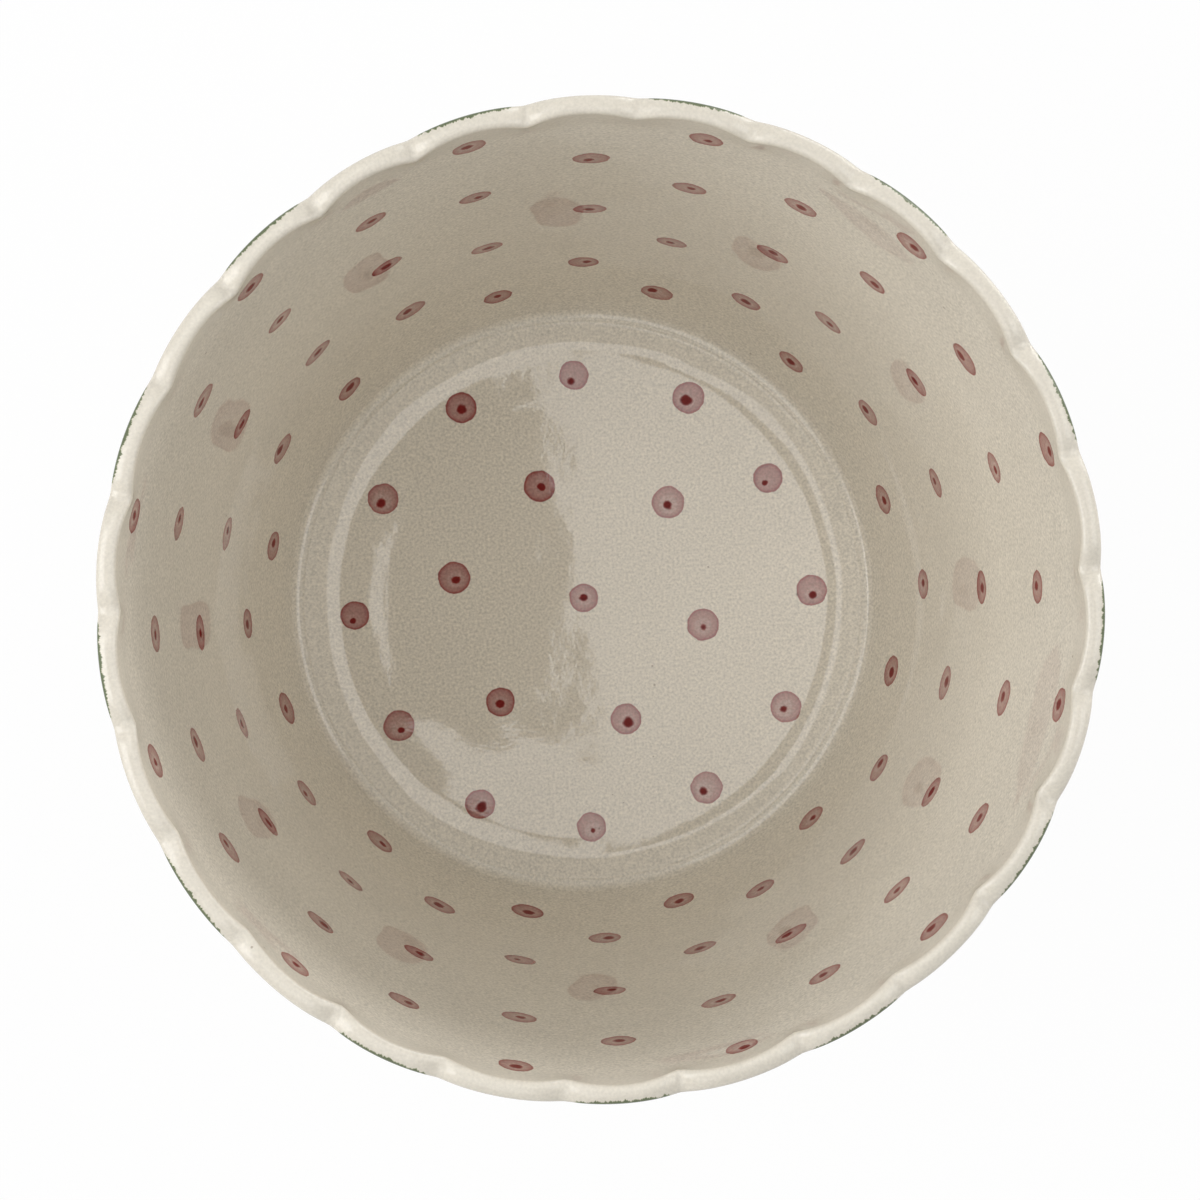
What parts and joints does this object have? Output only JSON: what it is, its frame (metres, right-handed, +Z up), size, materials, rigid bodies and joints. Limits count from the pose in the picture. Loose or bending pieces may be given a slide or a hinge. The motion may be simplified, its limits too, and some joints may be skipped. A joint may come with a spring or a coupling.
{
  "type": "stoneware bowl",
  "caption": "Deep round stoneware bowl with a flared wall, a pinched and fluted lip, a glossy cream glaze with painted dots inside, and a bare foot ring to stand on.",
  "frame": {"origin": "centre of the foot ring, on the surface that the bowl stands on", "axes": "+Z up along the bowl's axis, out of its mouth; +X through a pinch of the lip, to the right in the picture"},
  "size_m": [0.1994, 0.2, 0.16],
  "materials": {
    "bare_stoneware": "unglazed, fired, fine grained and matt",
    "cream_glaze": "glossy cream glaze over painted red dots inside and green brush strokes on the outside of the lip"
  },
  "bodies": {
    "root": {"foot_ring": "bare_stoneware", "floor": "bare_stoneware", "wall": "bare_stoneware", "rim": "bare_stoneware", "inside_glaze": "cream_glaze", "outside_glaze": "cream_glaze"}
  },
  "joints": []
}
